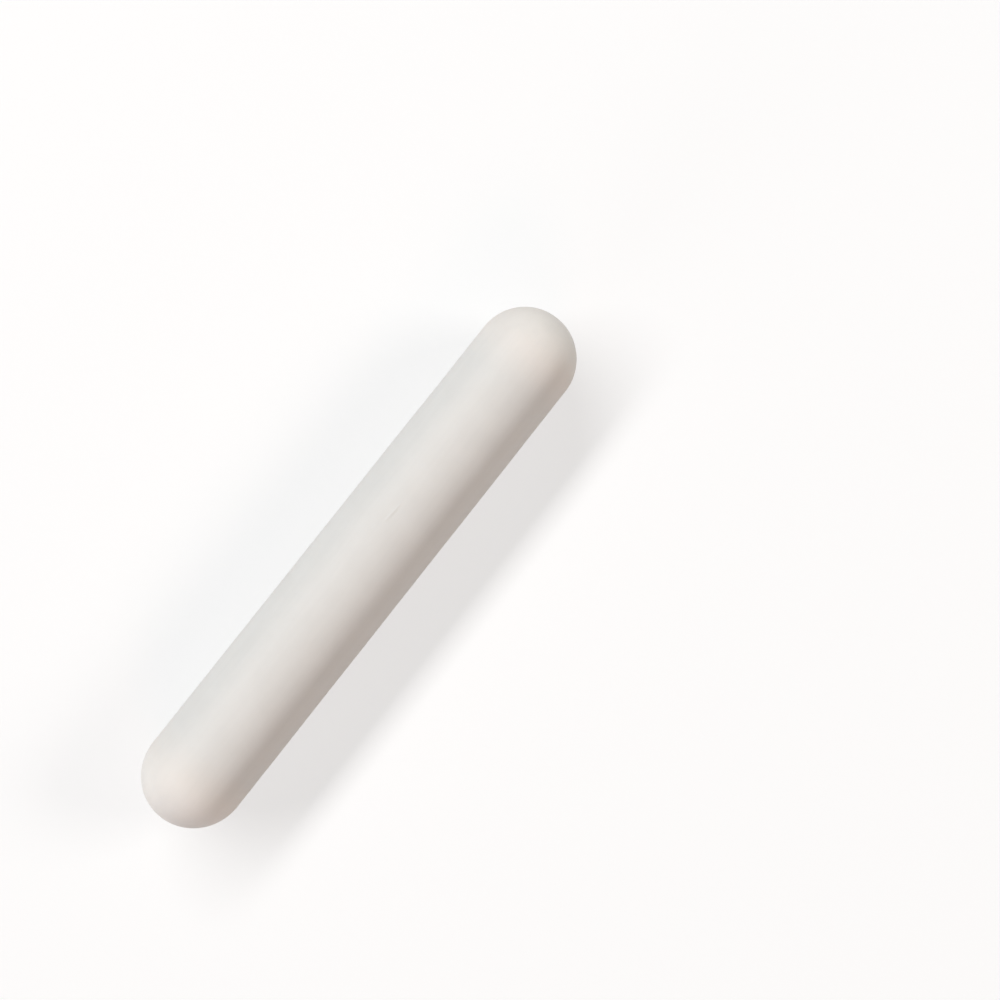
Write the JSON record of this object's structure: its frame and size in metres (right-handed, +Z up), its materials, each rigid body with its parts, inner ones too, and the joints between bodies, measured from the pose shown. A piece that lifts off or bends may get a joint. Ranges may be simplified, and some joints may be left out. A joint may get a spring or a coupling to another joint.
{
  "type": "magnetic stir bar",
  "caption": "Plain round magnetic stir bar: a bar magnet sealed in a seamless white PTFE jacket with hemispherical ends and no centre ring.",
  "frame": {"origin": "centre of the bar, on its axis, halfway between its two tips", "axes": "+X along the bar's axis, towards one tip (both ends are alike); +Z up as the bar lies on its side; +Y across the bar"},
  "size_m": [0.06, 0.01, 0.01],
  "materials": {
    "ptfe": "white sintered PTFE, satin and slightly waxy",
    "magnet_alloy": "cast and ground aluminium-nickel-cobalt alloy, dull grey"
  },
  "bodies": {
    "root": {"jacket": "ptfe", "magnet": "magnet_alloy"}
  },
  "joints": []
}
